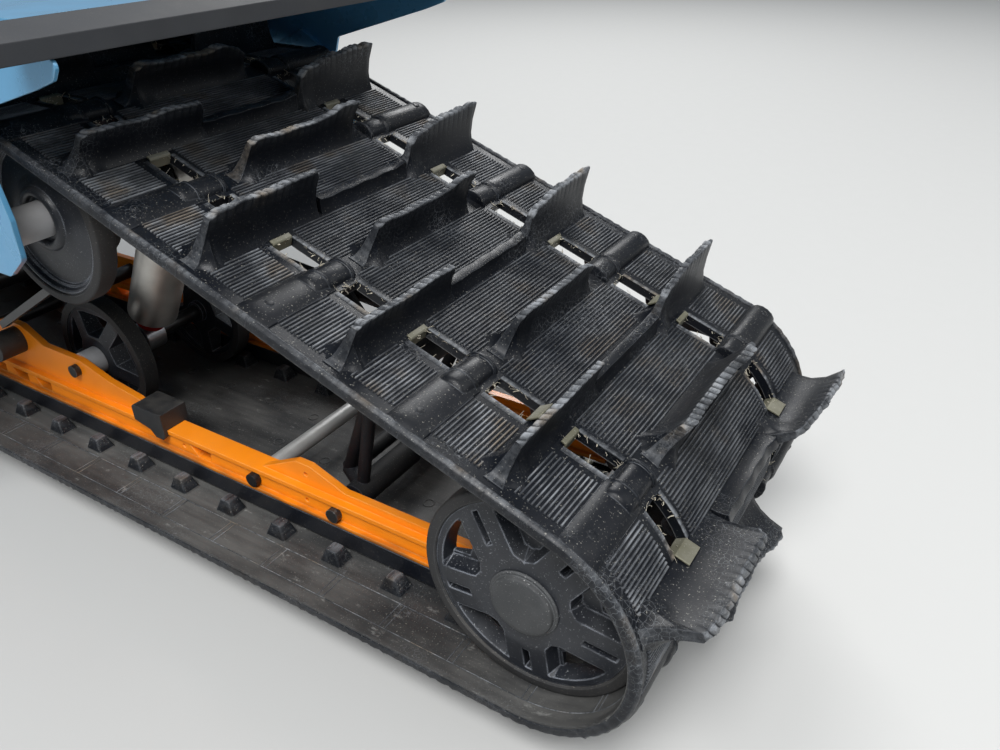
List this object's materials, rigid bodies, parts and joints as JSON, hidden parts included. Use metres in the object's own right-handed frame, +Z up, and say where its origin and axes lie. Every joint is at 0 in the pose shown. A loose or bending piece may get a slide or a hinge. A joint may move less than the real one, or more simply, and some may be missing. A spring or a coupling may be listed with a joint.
{
  "type": "snowmobile rear chassis with track",
  "caption": "Rear chassis of a snowmobile: sheet tunnel with running boards over a slide-rail suspension and an endless rubber track with tall paddle lugs.",
  "frame": {"origin": "centre of the footprint, on the ground under the lugs", "axes": "+X forward along the track, +Y to the machine's left, +Z up"},
  "size_m": [1.934, 0.758, 0.5431],
  "materials": {
    "track_rubber": "moulded rubber, dusty, worn grey at the lug edges",
    "orange_aluminium": "satin orange coat on extruded aluminium",
    "slider_plastic": "black low-friction plastic",
    "bare_aluminium": "machined, dull",
    "wheel_plastic": "moulded black plastic",
    "wheel_rubber": "moulded rubber, scuffed",
    "cap_plastic": "fine-grained dark grey plastic",
    "stop_rubber": "moulded rubber block",
    "grey_spacer": "dull grey tube",
    "steel": "turned steel",
    "black_steel": "black coat on welded tube",
    "spring_steel": "square spring wire with a black coat",
    "black_plastic": "moulded black plastic",
    "shock_aluminium": "satin anodised",
    "red_knob": "red anodised",
    "sprocket_plastic": "moulded black plastic",
    "blue_sheet": "light blue coat on sheet aluminium",
    "band_plastic": "black moulding, satin"
  },
  "bodies": {
    "root": {"axle_adjusters": "bare_aluminium", "axle_bearings": "bare_aluminium", "bogie_spacers": "grey_spacer", "bogie_tyre_left": "wheel_rubber", "bogie_tyre_right": "wheel_rubber", "bogie_wheel_left": "wheel_plastic", "bogie_wheel_right": "wheel_plastic", "bump_stops": "stop_rubber", "carrier_shaft": "steel", "carrier_spacers": "grey_spacer", "carrier_tyre_left": "wheel_rubber", "carrier_tyre_right": "wheel_rubber", "carrier_wheel_left": "wheel_plastic", "carrier_wheel_right": "wheel_plastic", "cross_tube": "bare_aluminium", "drive_axle": "steel", "drop_bracket_left": "blue_sheet", "drop_bracket_right": "blue_sheet", "front_arm": "black_steel", "front_arm_shaft": "steel", "front_plate": "blue_sheet", "front_shock_body": "shock_aluminium", "front_shock_rod": "steel", "idler_caps": "cap_plastic", "idler_tyre_left": "wheel_rubber", "idler_tyre_right": "wheel_rubber", "idler_wheel_left": "wheel_plastic", "idler_wheel_right": "wheel_plastic", "rail_left": "orange_aluminium", "rail_right": "orange_aluminium", "rail_shafts": "steel", "rear_arm": "black_steel", "rear_axle": "bare_aluminium", "rear_link": "black_steel", "rear_shock_body": "shock_aluminium", "rear_shock_rod": "steel", "running_board_left": "blue_sheet", "running_board_right": "blue_sheet", "shock_adjusters": "red_knob", "slider_left": "slider_plastic", "slider_right": "slider_plastic", "spring_seats": "black_plastic", "sprocket_left": "sprocket_plastic", "sprocket_right": "sprocket_plastic", "tail_band": "band_plastic", "torsion_springs": "spring_steel", "track": "track_rubber", "tunnel_side_left": "blue_sheet", "tunnel_side_right": "blue_sheet", "tunnel_top": "blue_sheet"}
  },
  "joints": []
}
